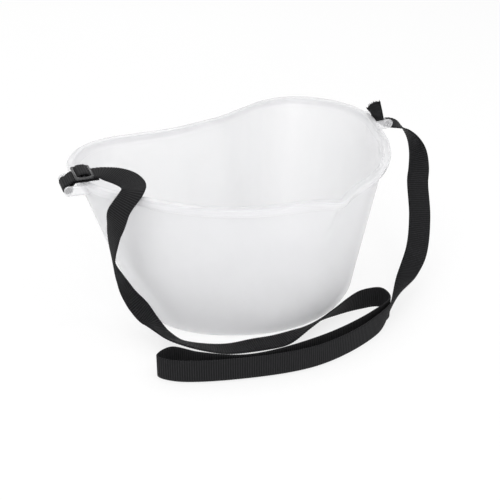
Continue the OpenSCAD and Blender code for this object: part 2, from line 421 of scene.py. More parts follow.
@dataclass(frozen=True)
class LugPlace:
    """Where a lug stands on the wall at the rim, and how it is turned from square and to the wall."""

    x: float
    y: float
    turn_deg: float
    skew_deg: float

    @property
    def along(self) -> Array:
        """The lug's own direction, which leads towards +X."""
        turn = math.radians(self.turn_deg)
        return np.array([math.cos(turn), math.sin(turn), 0.0])

    @property
    def across(self) -> Array:
        """Direction of the lug's bar, which leads towards the back."""
        return np.array([-self.along[1], self.along[0], 0.0])

    @property
    def outward(self) -> float:
        """1 where the lug's own direction leads outwards, and -1 where it leads inwards."""
        return math.copysign(1.0, self.x)

    def at(self, run: float, z: float, wide: float = 0.0) -> Array:
        """Point at a distance in the lug's own direction, a height and a distance along the bar."""
        return np.array([self.x, self.y, z]) + self.along * run + self.across * wide


RIM = Rim()
LEFT_LUG = LugPlace(-0.145842, 0.043, -16.0, 15.6)
RIGHT_LUG = LugPlace(0.140797, 0.015, -9.0, 12.84)

# Middle of the webbing, then the direction across it: from the slider over the front rim,
# along the floor in three runs and up to the other lug
STRAP_ROUTE: tuple[tuple[Point, Point], ...] = (
    ((-0.1245, 0.031, 0.1365), (0.62, 0.75, 0.2)),
    ((-0.120, 0.019, 0.1365), (0.82, 0.52, 0.25)),
    ((-0.120, 0.007, 0.137), (0.97, 0.1, 0.2)),
    ((-0.1235, -0.004, 0.138), (0.87, -0.48, 0.12)),
    ((-0.1295, -0.012, 0.1376), (0.72, -0.69, 0.08)),
    ((-0.1435, -0.0155, 0.1265), (0.51, -0.83, 0.21)),
    ((-0.1465, -0.010, 0.109), (0.08, -0.95, 0.29)),
    ((-0.1455, -0.002, 0.084), (-0.29, -0.82, 0.49)),
    ((-0.140, 0.004, 0.062), (-0.51, -0.72, 0.47)),
    ((-0.131, 0.004, 0.040), (-0.84, -0.52, 0.15)),
    ((-0.1255, -0.005, 0.028), (-0.92, -0.36, -0.13)),
    ((-0.1195, -0.0125, 0.017), (-0.92, -0.35, 0.18)),
    ((-0.116, -0.0255, 0.011), (-0.7, -0.6, 0.35)),
    ((-0.111, -0.044, 0.009), (-0.64, -0.6, 0.45)),
    ((-0.083, -0.066, 0.003), (-0.52, -0.84, 0.17)),
    ((-0.055, -0.0755, 0.0015), (-0.29, -0.95, 0)),
    ((-0.031, -0.082, 0.0015), (-0.15, -0.99, 0.03)),
    ((-0.010, -0.085, 0.0065), (0, -0.84, 0.54)),
    ((0.020, -0.082, 0.009), (-0.1, -0.6, 0.8)),
    ((0.054, -0.082, 0.011), (0, 0, 1)),
    ((0.071, -0.089, 0.011), (0, 0, 1)),
    ((0.067, -0.105, 0.011), (0, 0, 1)),
    ((0.040, -0.114, 0.011), (0, 0, 1)),
    ((-0.020, -0.119, 0.011), (0, 0, 1)),
    ((-0.085, -0.107, 0.011), (0, 0, 1)),
    ((-0.115, -0.082, 0.011), (0, 0, 1)),
    ((-0.130, -0.062, 0.011), (0, 0, 1)),
    ((-0.145, -0.066, 0.011), (0, 0, 1)),
    ((-0.138, -0.080, 0.011), (0, 0, 1)),
    ((-0.095, -0.107, 0.011), (0, 0, 1)),
    ((-0.030, -0.129, 0.011), (0, 0, 1)),
    ((0.040, -0.121, 0.011), (0, 0, 1)),
    ((0.080, -0.099, 0.012), (0.3, -0.35, 0.9)),
    ((0.106, -0.084, 0.018), (0.7, -0.6, 0.4)),
    ((0.131, -0.070, 0.032), (0.81, -0.58, 0)),
    ((0.150, -0.052, 0.054), (0.81, -0.58, 0)),
    ((0.165, -0.031, 0.078), (0.81, -0.58, 0)),
    ((0.172, -0.024, 0.088), (0.55, -0.82, 0.18)),
    ((0.177, -0.016, 0.100), (0.24, -0.91, 0.33)),
    ((0.1775, -0.008, 0.110), (-0.12, -0.9, 0.42)),
    ((0.175, -0.0005, 0.1175), (-0.5, -0.74, 0.45)),
    ((0.1705, 0.005, 0.122), (-0.5, -0.86, -0.04)),
    ((0.165, 0.010, 0.1245), (-0.42, -0.86, -0.25)),
)

TWIST_EASE = 0.006  # distance to each side over which the twist is evened out
SPAN_SAMPLES = 40  # points of the curve between two stations


@dataclass
class Ribbon:
    """Evenly spaced frames along a strap: its middle, and the directions along, across and out of it."""

    middle: Array
    along: Array
    across: Array
    out: Array
    run: Array

    @classmethod
    def through(cls, stations: list[tuple[Array, Array]], step: float) -> "Ribbon":
        """Lays a smooth ribbon through stations.

        Args:
            stations: Middle and direction across, one after another.
            step: Distance between two frames, in metres.

        Returns:
            The ribbon.
        """
        points = np.array([s[0] for s in stations], float)
        across = unit(np.array([s[1] for s in stations], float))
        knots = np.concatenate([[0], np.cumsum(np.linalg.norm(np.diff(points, axis=0), axis=1) ** 0.5)])
        fine_t, fine_p = cls._catmull(points, knots)
        length = np.concatenate([[0], np.cumsum(np.linalg.norm(np.diff(fine_p, axis=0), axis=1))])
        run = np.linspace(0, length[-1], max(3, round(length[-1] / step) + 1))
        t = np.interp(run, length, fine_t)
        middle = np.stack([np.interp(t, fine_t, fine_p[:, k]) for k in range(3)], axis=1)
        along = unit(np.gradient(middle, axis=0))
        wide = np.stack([np.interp(t, knots, across[:, k]) for k in range(3)], axis=1)
        wide = cls._eased(wide, round(TWIST_EASE / step))
        wide = unit(wide - along * np.sum(wide * along, axis=1, keepdims=True))
        return cls(middle, along, wide, np.cross(along, wide), run)

    @staticmethod
    def _catmull(points: Array, knots: Array) -> tuple[Array, Array]:
        """Samples a centripetal curve through the points.

        Args:
            points: Points in order.
            knots: Curve parameter at each point.

        Returns:
            Parameters and points, close together.
        """
        ends = np.vstack([2 * points[0] - points[1], points, 2 * points[-1] - points[-2]])
        t = np.concatenate([[2 * knots[0] - knots[1]], knots, [2 * knots[-1] - knots[-2]]])
        times, places = [], []
        for i in range(1, len(points)):
            u = np.linspace(t[i], t[i + 1], SPAN_SAMPLES, endpoint=i == len(points) - 1)[:, None]
            p = [ends[i - 1 + k] for k in range(4)]
            s = [t[i - 1 + k] for k in range(4)]
            a = [(p[k] * (s[k + 1] - u) + p[k + 1] * (u - s[k])) / (s[k + 1] - s[k]) for k in range(3)]
            b = [(a[k] * (s[k + 2] - u) + a[k + 1] * (u - s[k])) / (s[k + 2] - s[k]) for k in range(2)]
            places.append((b[0] * (s[2] - u) + b[1] * (u - s[1])) / (s[2] - s[1]))
            times.append(u[:, 0])
        return np.concatenate(times), np.concatenate(places)

    @staticmethod
    def _eased(rows: Array, reach: int) -> Array:
        """Averages each row with its neighbours, so that a twist starts and ends softly.

        Args:
            rows: Directions along the strap.
            reach: How many neighbours to each side.

        Returns:
            As many rows.
        """
        if reach < 1 or len(rows) < 4 * reach:
            return rows
        padded = np.vstack([np.repeat(rows[:1], reach, 0), rows, np.repeat(rows[-1:], reach, 0)])
        sums = np.cumsum(np.vstack([np.zeros((1, 3)), padded]), axis=0)
        return (sums[2 * reach + 1 :] - sums[: -2 * reach - 1]) / (2 * reach + 1)


@dataclass
class Webbing:
    """How the strap's webbing is woven, in metres, and the meshes made of it."""

    width: float = 0.020
    thickness: float = 0.0012
    edge_out: float = 0.8
    edge_rise: float = 0.45
    edge_rib: float = 0.5
    rib_pitch: float = 0.0019  # drawn coarser than the real 1.3 mm or so, to show
    rib_height: float = 0.0003
    steps_per_rib: int = 5
    sides: int = 9
    threads: int = 26
    thread_len: float = 0.0022
    thread_r: float = 0.0005
    thread_tip: float = 0.0001
    thread_sides: int = 6
    thread_stray: float = 0.5
    shortest: float = 0.3
    longest: float = 1.3
    seed: int = 7
    material: Any = field(init=False)
    ribs: Any = field(init=False)

    def __post_init__(self) -> None:
        """Makes the finish and the node tree that all webbing shares."""
        self.material = WovenWebbing(rib_mm=self.rib_pitch / MM).material()
        self.ribs = self.rib_tree()

    @property
    def step(self) -> float:
        """Distance between two frames along the strap."""
        return self.rib_pitch / self.steps_per_rib

    def profile(self) -> Array:
        """Section of the webbing.

        Returns:
            Rows of place across, place out, and how much of a rib shows there.
        """
        half_w, half_t = self.width / 2, self.thickness / 2
        flat = np.linspace(-1, 1, self.sides)
        inset = half_w - half_t
        x, out, rib = inset + half_t * self.edge_out, half_t * self.edge_rise, self.edge_rib
        under = [(share * inset, -half_t, -1.0) for share in flat]
        half = np.array(under + [(x, -out, -rib), (half_w, 0.0, 0.0), (x, out, rib)])
        return np.vstack([half, -half])

    def band(self, name: str, ribbon: Ribbon, slant: Array | float = 0.0, bow: Array | float = 0.0) -> Any:
        """Sweeps the section along a ribbon, raises the ribs on it and dresses it.

        Args:
            name: Name of the piece.
            ribbon: Frames to follow.
            slant: How far each frame leans along the strap per metre across it.
            bow: How far each frame bulges along the strap in its middle.

        Returns:
            The closed band, a plain mesh.
        """
        section = self.profile()
        count, sides = len(ribbon.middle), len(section)
        wide = section[:, 0]
        bulge = 1 - (2 * wide / self.width) ** 2
        shift = np.outer(np.broadcast_to(slant, count), wide) + np.outer(np.broadcast_to(bow, count), bulge)
        places = (
            ribbon.middle[:, None]
            + ribbon.across[:, None] * section[None, :, 0, None]
            + ribbon.out[:, None] * section[None, :, 1, None]
            + ribbon.along[:, None] * shift[..., None]
        )
        run = ribbon.run[:, None] + shift
        rib = ribbon.out[:, None] * section[None, :, 2, None]
        last, turn = (count - 1) * sides, [(i, (i + 1) % sides) for i in range(sides)]
        starts = range(0, last, sides)
        faces = [(r + i, r + j, r + sides + j, r + sides + i) for r in starts for i, j in turn]
        faces += [tuple(range(sides))[::-1], tuple(range(last, last + sides))]
        piece = mesh_object(name, places.reshape(-1, 3), faces)
        mesh = piece.data
        values = (("run", "FLOAT", "value", run), ("rib", "FLOAT_VECTOR", "vector", rib))
        for label, kind, key, rows in values:
            layer = mesh.attributes.new(label, kind, "POINT")
            layer.data.foreach_set(key, rows.ravel().astype(np.float32))
        corners = np.zeros(len(mesh.loops), int)
        mesh.loops.foreach_get("vertex_index", corners)
        uv = np.stack([np.broadcast_to(wide, run.shape), run], axis=-1).reshape(-1, 2)[corners] / MM
        layer = mesh.uv_layers.new(name="webbing")
        layer.data.foreach_set("uv", uv.ravel().astype(np.float32))
        self._noded(piece, self.ribs, {
            "Rib Pitch": self.rib_pitch, "Rib Height": self.rib_height / 2, "Material": self.material})
        piece.data.shade_smooth()
        return piece

    @staticmethod
    def _tree(name: str, inputs: dict[str, str]) -> tuple[Any, Any]:
        """Starts a node tree with named inputs.

        Args:
            name: Name of the tree.
            inputs: Name of each size or setting, and its kind of socket.

        Returns:
            The tree and its inputs by name.
        """
        tree = bpy.data.node_groups.new(name, "GeometryNodeTree")
        for label, kind in {"Geometry": "Geometry", **inputs, "Material": "Material"}.items():
            tree.interface.new_socket(label, in_out="INPUT", socket_type="NodeSocket" + kind)
        tree.interface.new_socket("Geometry", in_out="OUTPUT", socket_type="NodeSocketGeometry")
        return tree, add(tree, "NodeGroupInput").outputs

    @staticmethod
    def _ending(tree: Any, given: Any, geometry: Any) -> None:
        """Ends a node tree: real geometry, dressed in the given material.

        Args:
            tree: Node tree.
            given: Its inputs by name.
            geometry: Node that gives what was made.
        """
        whole = add(tree, "GeometryNodeRealizeInstances", {"Geometry": geometry})
        dressed = add(tree, "GeometryNodeSetMaterial", {"Geometry": whole, "Material": given["Material"]})
        add(tree, "NodeGroupOutput", {"Geometry": dressed})

    def rib_tree(self) -> Any:
        """Builds the node tree that raises the weave's ribs across the strap.

        Returns:
            The tree.
        """
        tree, given = self._tree("webbing_ribs", {"Rib Pitch": "Float", "Rib Height": "Float"})
        run = add(tree, "GeometryNodeInputNamedAttribute", {"Name": "run"}, data_type="FLOAT")
        rib = add(tree, "GeometryNodeInputNamedAttribute", {"Name": "rib"}, data_type="FLOAT_VECTOR")
        share = add(tree, "ShaderNodeMath", {0: run, 1: given["Rib Pitch"]}, operation="DIVIDE")
        turn = add(tree, "ShaderNodeMath", {0: share, 1: math.tau}, operation="MULTIPLY")
        wave = add(tree, "ShaderNodeMath", {0: turn}, operation="COSINE")
        lift = add(tree, "ShaderNodeMath", {0: wave, 1: given["Rib Height"]}, operation="MULTIPLY")
        offset = add(tree, "ShaderNodeVectorMath", {0: rib, "Scale": lift}, operation="SCALE")
        moved = add(tree, "GeometryNodeSetPosition", {"Geometry": given["Geometry"], "Offset": offset})
        self._ending(tree, given, moved)
        return tree

    def thread_tree(self) -> Any:
        """Builds the node tree that lets yarn ends stand out of a cut edge.

        Returns:
            The tree.
        """
        tree, given = self._tree("cut_threads", {
            "Count": "Int", "Seed": "Int", "Length": "Float", "Radius": "Float", "Way": "Vector"})
        edge = add(tree, "GeometryNodeMeshToCurve", {"Mesh": given["Geometry"]})
        spots = add(tree, "GeometryNodeCurveToPoints", {
            "Curve": edge, "Count": given["Count"]}, mode="COUNT")
        yarn = add(tree, "GeometryNodeMeshCone", {
            "Vertices": self.thread_sides, "Radius Top": self.thread_tip,
            "Radius Bottom": given["Radius"], "Depth": given["Length"]})
        stray = add(tree, "FunctionNodeRandomValue", {
            "Min": [-self.thread_stray] * 3, "Max": [self.thread_stray] * 3,
            "Seed": given["Seed"]}, data_type="FLOAT_VECTOR")
        way = add(tree, "ShaderNodeVectorMath", {0: given["Way"], 1: stray}, operation="ADD")
        turn = add(tree, "FunctionNodeAlignRotationToVector", {"Vector": way}, axis="Z")
        reach = add(tree, "FunctionNodeRandomValue", {
            2: self.shortest, 3: self.longest, "Seed": given["Seed"]}, data_type="FLOAT")
        size = add(tree, "ShaderNodeCombineXYZ", {"X": 1.0, "Y": 1.0, "Z": reach.outputs[1]})
        ends = add(tree, "GeometryNodeInstanceOnPoints", {
            "Points": spots, "Instance": yarn, "Rotation": turn, "Scale": size})
        self._ending(tree, given, ends)
        return tree

    def frayed(self, piece: Any, edge: Array, way: Array) -> None:
        """Adds yarn ends along a cut edge of a piece.

        Args:
            piece: Webbing that was cut.
            edge: Points along the cut.
            way: Direction in which the yarn runs out of it.
        """
        threads = mesh_object("cut_threads", edge, [], tuple((k, k + 1) for k in range(len(edge) - 1)))
        self._noded(threads, self.thread_tree(), {
            "Count": self.threads, "Seed": self.seed, "Length": self.thread_len, "Radius": self.thread_r,
            "Way": way.tolist(), "Material": self.material})
        threads.data.shade_smooth()
        both = [piece, threads]
        with bpy.context.temp_override(active_object=piece, object=piece, selected_objects=both,
                                       selected_editable_objects=both):
            bpy.ops.object.join()

    @staticmethod
    def _noded(piece: Any, tree: Any, values: dict[str, Any]) -> None:
        """Runs a node tree on a piece, and keeps the plain mesh.

        Args:
            piece: Piece that takes the tree.
            tree: Node tree.
            values: Value of each named input.
        """
        modifier = piece.modifiers.new(tree.name, "NODES")
        modifier.node_group = tree
        for socket in tree.interface.items_tree:
            if socket.in_out == "INPUT" and socket.name in values:
                modifier[socket.identifier] = values[socket.name]
        applied(piece)


@dataclass
class Strap:
    """The carrying strap, from its tail under the slider to its cut end at the other lug."""

    webbing: Webbing
    gap: float = 0.00035
    solid_t: float = 0.0014
    tail_len: float = 0.013
    straight_len: float = 0.0155
    tail_rise: float = 0.0105
    tail_lean: float = 0.005
    tail_swing: float = 0.0015
    cut_drop: float = 0.013
    cut_bow: float = 0.0022
    lead_deg: float = 256.0
    lead_len: float = 0.006
    lead_points: int = 9
    lip_deg: Spot = (90.0, 135.0)
    lip_points: int = 6
    loop_deg: Spot = (20.0, -270.0)
    loop_points: int = 30
    fray_share: float = 0.97
    fray_points: int = 25
    path: list[list[float]] = field(init=False)
    length: float = field(init=False)

    def stations(self) -> list[tuple[Array, Array]]:
        """Stations of the whole strap, tail first.

        Returns:
            Middle and direction across, one after another.
        """
        rows = [(LEFT_LUG.at(run, z), LEFT_LUG.across) for run, z in self._left_loop()]
        rows += [(np.array(p), np.array(w, float)) for p, w in STRAP_ROUTE]
        rows += [(RIGHT_LUG.at(run, z), -RIGHT_LUG.across) for run, z in self._right_loop()]
        middle = RIGHT_LUG.at(RIM.bar_out - self.loop_r - self.tail_lean, RIM.z + self.tail_rise)
        rows.append((middle, self._cut_line() - self._tail_way() * self._cut_slant() * self.webbing.width))
        return rows

    def _cut_line(self) -> Array:
        """From the low corner of the slanting cut to its high corner."""
        wide = RIGHT_LUG.across * self.webbing.width
        return RIGHT_LUG.along * 2 * self.tail_swing - wide + np.array([0.0, 0.0, self.cut_drop])

    def _tail_way(self) -> Array:
        """Direction in which the tail stands up from its slot and leans over the lip."""
        return unit(np.array([0.0, 0.0, self.tail_rise + self.solid_t]) - RIGHT_LUG.along * self.tail_lean)

    def _cut_slant(self) -> float:
        """How far the cut runs along the tail per metre across it."""
        return float(self._cut_line() @ self._tail_way()) / self.webbing.width

    @property
    def loop_r(self) -> float:
        """Radius of the strap's middle round a bar."""
        return RIM.bar_r + self.gap + self.solid_t / 2

    def _left_loop(self) -> list[Spot]:
        """Tail, turn over the lip, loop round the bar and straight stretch at the left lug.

        Returns:
            Distance in the lug's own direction, and height.
        """
        under_z = RIM.z + self.gap + self.solid_t / 2
        over_z = under_z + self.solid_t + self.gap
        lip_out = RIM.lip_w + self.webbing.width / 2 * math.tan(math.radians(LEFT_LUG.skew_deg))
        turn = (RIM.lip_r - lip_out, RIM.z - RIM.lip_r)
        turn_r = RIM.lip_r + self.gap + self.solid_t / 2
        rows = [(self.tail_len, under_z), (self.tail_len / 3, under_z)]
        rows += arc(turn, turn_r, *self.lip_deg, self.lip_points)
        rows += arc((-RIM.bar_out, RIM.bar_z), self.loop_r, *self.loop_deg, self.loop_points)
        return rows + [(-lip_out, over_z), (0.0, over_z), (self.straight_len, over_z)]

    def _right_loop(self) -> list[Spot]:
        """Lead under the bar and tail up through the slot at the right lug.

        Returns:
            Distance in the lug's own direction, and height.
        """
        bar, lead = (RIM.bar_out, RIM.bar_z), math.radians(self.lead_deg)
        turn = arc(bar, self.loop_r, self.lead_deg, 180, self.lead_points)
        x, z = turn[0]
        start = (x - self.lead_len * math.sin(lead), z + self.lead_len * math.cos(lead))
        return [start, *turn, (bar[0] - self.loop_r, RIM.z - self.solid_t)]

    def _cut_edge(self, ribbon: Ribbon) -> Array:
        """Points along the middle of the cut, from its low corner to its high corner.

        Args:
            ribbon: Frames of the whole strap.

        Returns:
            One row for each point.
        """
        share = np.linspace(-self.fray_share, self.fray_share, self.fray_points)[:, None]
        wide = share * self.webbing.width / 2
        along = wide * self._cut_slant() + (1 - share**2) * self.cut_bow
        return ribbon.middle[-1] + ribbon.across[-1] * wide + ribbon.along[-1] * along

    def build(self) -> Any:
        """Builds the strap and lets it ride on the bucket.

        Returns:
            The strap.
        """
        ribbon = Ribbon.through(self.stations(), self.webbing.step)
        tail = math.hypot(self.tail_rise + self.solid_t, self.tail_lean)
        share = np.clip((ribbon.run - ribbon.run[-1] + tail) / tail, 0, 1)
        slant, bow = share * self._cut_slant(), share * self.cut_bow
        piece = self.webbing.band("carrying_strap", ribbon, slant, bow)
        self.webbing.frayed(piece, self._cut_edge(ribbon), self._tail_way())
        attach(piece, Body.BUCKET.value)
        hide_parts("strap")
        second_ribs = ribbon.middle[:: 2 * self.webbing.steps_per_rib]
        self.path = second_ribs.tolist() + [ribbon.middle[-1].tolist()]
        self.length = float(ribbon.run[-1])
        return piece


# Half of the hump over the slider's middle bar, from a foot to the crown: distance from the bar, and rise
HUMP_ARCH = (
    (0.0040, 0.0004), (0.0043, 0.0014), (0.0043, 0.0024), (0.0037, 0.0033), (0.0021, 0.0038), (0.0, 0.0039))


@dataclass
class Slider:
    """The three-bar slider and the hump of webbing over its middle bar."""

    webbing: Webbing
    length: float = 0.0155
    rail_w: float = 0.0024
    slot_w: float = 0.0208
    plate_t: float = 0.0022
    cross_r: float = 0.0013
    corner_r: float = 0.002
    inward: float = 0.001
    corner_steps: int = 8
    slot_trim: float = 0.0008
    slot_r: float = 0.0009
    slot_steps: int = 4
    edge_r: float = 0.0008
    edge_steps: int = 3
    bar_sides: int = 20
    bar_end_share: float = 0.55
    bar_end_len: float = 0.001
    sharp_deg: float = 50.0
    stack: float = 0.00385
    weld: float = 1e-6

    @property
    def z(self) -> float:
        """Height of the slider's underside."""
        return RIM.z + self.stack

    @property
    def cross_x(self) -> float:
        """Distance of an end bar from the middle bar."""
        return self.length / 2 - self.cross_r

    def frame_mesh(self) -> Any:
        """Makes the flat frame with rounded edges, and its three bars.

        Returns:
            The slider, still without its finish.
        """
        curve = bpy.data.curves.new("slider_frame", "CURVE")
        curve.dimensions = "2D"
        curve.fill_mode = "BOTH"
        curve.extrude = self.plate_t / 2 - self.edge_r
        curve.bevel_depth = self.edge_r
        curve.bevel_resolution = self.edge_steps
        curve.offset = -self.edge_r
        wide = self.slot_w + 2 * self.rail_w
        outlines = [self._rounded(0, self.length, wide, self.corner_r, self.corner_steps)]
        slot_l = self.cross_x - self.slot_trim
        for x in (-self.cross_x / 2, self.cross_x / 2):
            slot = self._rounded(x, slot_l, self.slot_w, self.slot_r, self.slot_steps)
            outlines.append(slot[::-1])
        for outline in outlines:
            spline = curve.splines.new("POLY")
            spline.points.add(len(outline) - 1)
            for point, (x, y) in zip(spline.points, outline):
                point.co = (x, y, 0, 1)
            spline.use_cyclic_u = True
        flat = placed("slider_frame", curve)
        bpy.context.view_layer.update()
        depsgraph = bpy.context.evaluated_depsgraph_get()
        mesh = bpy.data.meshes.new_from_object(flat.evaluated_get(depsgraph))
        bpy.data.objects.remove(flat)
        shape = bmesh.new()
        shape.from_mesh(mesh)
        bpy.data.meshes.remove(mesh)
        bmesh.ops.translate(shape, verts=shape.verts, vec=(0, 0, self.plate_t / 2))
        half, narrow = (self.slot_w + self.rail_w) / 2, self.cross_r * self.bar_end_share
        end = [(narrow, half), (self.cross_r, half - self.bar_end_len)]
        for x in (-self.cross_x, 0.0, self.cross_x):
            turned_bar(shape, (x, self.cross_r), end, self.bar_sides)
        place = Matrix.Translation(LEFT_LUG.at(self.inward, self.z))
        turned = place @ Matrix.Rotation(math.radians(LEFT_LUG.turn_deg), 4, "Z")
        bmesh.ops.transform(shape, verts=shape.verts, matrix=turned)
        bmesh.ops.remove_doubles(shape, verts=shape.verts, dist=self.weld)
        return shape_object("slider_plate", shape)

    @staticmethod
    def _rounded(x: float, length: float, width: float, radius: float, steps: int) -> list[Spot]:
        """Outline of a rectangle with round corners.

        Args:
            x: Place of its middle.
            length: Size along X.
            width: Size along Y.
            radius: Corner radius.
            steps: Steps round a corner.

        Returns:
            Points in order.
        """
        points = []
        for start, sx, sy in ((0, 1, 1), (90, -1, 1), (180, -1, -1), (270, 1, -1)):
            corner = (x + sx * (length / 2 - radius), sy * (width / 2 - radius))
            points += arc(corner, radius, start, start + 90, steps + 1)
        return points

    def build(self, finish: Any) -> tuple[Any, Any]:
        """Builds the slider and the hump.

        Args:
            finish: The slider's finish.

        Returns:
            The slider and the hump.
        """
        plate = self.frame_mesh()
        dress(plate, finish, self.sharp_deg)
        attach(plate, Body.SLIDER.value)
        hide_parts("slider")
        rows = [(-run, rise) for run, rise in HUMP_ARCH] + list(HUMP_ARCH[-2::-1])
        stations = [(LEFT_LUG.at(self.inward + run, self.z + rise), LEFT_LUG.across) for run, rise in rows]
        hump = self.webbing.band("webbing_hump", Ribbon.through(stations, self.webbing.step))
        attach(hump, Body.SLIDER.value)
        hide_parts("webbing_fold")
        return plate, hump


@dataclass
class Bucket:
    """The moulding: floor, wall, rolled lip and spout, with a strap lug on each side, in metres."""

    height: float = RIM.z
    rim_w: float = 0.294
    rim_d: float = 0.211
    base_w: float = 0.208
    base_d: float = 0.150
    wall_t: float = 0.002
    floor_t: float = 0.0024
    corner_r: float = 0.004
    lip_h: float = 0.0074
    lip_t: float = 0.0018
    spout_reach: float = 0.0105
    spout_w: float = 0.062
    spout_drop: float = 0.052
    spout_round: float = 0.0016
    spout_pinch: float = 2.2
    spout_fade: float = 1.6
    lug_gap: float = 0.024
    web_t: float = 0.0032
    web_r: float = 0.004
    web_edge: float = 0.0005
    web_points: int = 25
    boss_h: float = 0.0007
    boss_rows: tuple[Spot, ...] = ((0.35, 0.0004), (0.55, 0.0001), (0.8, 0.0), (1.0, 0.0003))
    bar_sides: int = 28
    soft: Spot = (0.0002, 0.0006)
    wall_rows: int = 26
    arc_rows: int = 9
    span_steps: int = 16
    sharp_deg: float = 40.0
    floor_shares: tuple[float, ...] = (0.82, 0.62, 0.42, 0.22)
    rim_shares: tuple[Spot, ...] = (
        (0, 0.90), (0.20, 0.91), (0.41, 0.98), (0.61, 1.03), (0.79, 0.96), (0.93, 0.75), (0.99, 0.47),
        (0.97, 0.19), (0.88, -0.06), (0.76, -0.36), (0.57, -0.66), (0.31, -0.87), (0, -0.97))
    base_shares: tuple[Spot, ...] = (
        (0, 0.99), (0.24, 1.00), (0.45, 1.03), (0.66, 1.01), (0.83, 0.90), (0.96, 0.68), (1.01, 0.38),
        (0.99, 0.08), (0.93, -0.21), (0.80, -0.47), (0.60, -0.71), (0.31, -0.92), (0, -0.99))

    def plan(self, shares: tuple[Spot, ...], width: float, depth: float) -> Array:
        """Smooth closed outline from the shares of one half.

        Args:
            shares: Points from the back middle to the front middle.
            width: Size along X that the shares follow.
            depth: Size along Y that the shares follow.

        Returns:
            Points of the whole outline.
        """
        half = np.array(shares) * (width / 2, depth / 2)
        ring = np.vstack([half, half[-2:0:-1] * (-1, 1)])
        a, b, c, d = (np.roll(ring, s, axis=0)[:, None] for s in (1, 0, -1, -2))
        t = (np.arange(self.span_steps) / self.span_steps)[None, :, None]
        bend, twist = 2 * a - 5 * b + 4 * c - d, 3 * b - a - 3 * c + d
        return (b + (c - a) * t / 2 + bend * t**2 / 2 + twist * t**3 / 2).reshape(-1, 2)

    def ring(self, out: float, z: float) -> Array:
        """One ring of the moulding.

        Args:
            out: Distance out from the wall's outer face.
            z: Height.

        Returns:
            Points of the ring.
        """
        base = self.plan(self.base_shares, self.base_w, self.base_d)
        rim = self.plan(self.rim_shares, self.rim_w, self.rim_d)
        wall = base + (rim - base) * z / self.height
        x = np.sqrt(wall[:, 0] ** 2 + self.spout_round**2) - self.spout_round
        side = np.clip(1 - x / (self.spout_w / 2), 0, None) ** self.spout_pinch
        fade = np.clip(1 - (self.height - z) / self.spout_drop, 0, 1) ** self.spout_fade
        wall[:, 1] -= np.where(wall[:, 1] < 0, self.spout_reach * side * fade, 0)
        t = np.roll(wall, -1, axis=0) - np.roll(wall, 1, axis=0)
        normal = unit(np.stack([-t[:, 1], t[:, 0]], axis=1))
        flat = wall + normal * out
        return np.column_stack([flat, np.full(len(flat), z)])

    def section(self) -> list[Spot]:
        """Section of the wall, from outside the floor over the lip to the inside.

        Returns:
            Distance out from the wall's outer face, and height.
        """
        h, floor, wall, near = self.height, self.floor_t, -self.wall_t, self.arc_rows
        fillet, bead, low_r = self.corner_r - self.wall_t, self.wall_t / 2, self.lip_t / 2
        top, hang, (nick, soft) = h - self.lip_t, RIM.lip_w - self.lip_t, self.soft
        low = (RIM.lip_w - low_r, h - self.lip_h + low_r)
        rows = arc((-self.corner_r, self.corner_r), self.corner_r, -90, 0, near)
        rows += [(0, z) for z in np.linspace(self.corner_r, top - soft, self.wall_rows)[1:]]
        rows += [(nick, top - nick), (soft, top)]
        rows += [(hang - soft, top), (hang - nick, top - nick), (hang, top - soft)]
        rows += arc(low, low_r, 180, 360, near)
        rows += arc((RIM.lip_w - RIM.lip_r, h - RIM.lip_r), RIM.lip_r, 0, 90, near)
        rows += arc((wall + bead, h - bead), bead, 90, 180, near)
        rows += [(wall, z) for z in np.linspace(h - bead, floor + fillet, self.wall_rows)[1:]]
        return rows + arc((wall - fillet, floor + fillet), fillet, 0, -90, near)[1:]

    def shell(self) -> Any:
        """Makes the closed shell without its lugs.

        Returns:
            The shell.
        """
        rings = [self.ring(out, z) for out, z in self.section()]
        under = [rings[0] * (share, share, 1) for share in self.floor_shares[::-1]]
        rings = under + rings + [rings[-1] * (share, share, 1) for share in self.floor_shares]
        vertices = np.vstack(rings + [[[0, 0, 0]], [[0, 0, self.floor_t]]])
        n, end = len(rings[0]), len(vertices) - 2
        turn = [(i, (i + 1) % n) for i in range(n)]
        faces = [(r + i, r + n + i, r + n + j, r + j) for r in range(0, end - n, n) for i, j in turn]
        faces += [(end, i, j) for i, j in turn]
        faces += [(end + 1, end - n + j, end - n + i) for i, j in turn]
        return mesh_object("bucket_shell", vertices, faces)

    def lug_mesh(self, lug: LugPlace) -> Any:
        """Makes one lug: two webs with round ends, and the bar between them with a boss on each end.

        Args:
            lug: Where it stands.

        Returns:
            The lug as a closed mesh.
        """
        shape = bmesh.new()
        web_mid = self.lug_gap / 2 + self.web_t / 2
        for side in (-1, 1):
            web_in = side * web_mid * math.tan(math.radians(lug.skew_deg)) - self.wall_t / 2
            outline = [(web_in, self.web_r), (web_in, -self.web_r)]
            outline += arc((RIM.bar_out, 0.0), self.web_r, -90, 90, self.web_points)
            self._plate(shape, outline, side * web_mid)
        half = web_mid + self.web_t / 2 + self.boss_h
        boss = [(RIM.bar_r * share, half - dip) for share, dip in self.boss_rows]
        turned_bar(shape, (RIM.bar_out, 0.0), boss, self.bar_sides)
        for vertex in shape.verts:
            out, wide, rise = vertex.co
            vertex.co = lug.at(lug.outward * out, RIM.bar_z + rise, wide)
        return shape_object("lug", shape)

    def _plate(self, shape: Any, outline: list[Spot], y: float) -> None:
        """Adds a web with softened edges.

        Args:
            shape: Mesh in the making.
            outline: Points along X and Z.
            y: Place of its middle.
        """
        points = np.array(outline)
        pull = unit(points - points.mean(axis=0))
        half, edge = self.web_t / 2, self.web_edge
        rows = ((edge, -half), (0.0, -half + edge), (0.0, half - edge), (edge, half))
        skin(shape, [
            [shape.verts.new((x, y + place, z)) for x, z in points - pull * inset]
            for inset, place in rows])

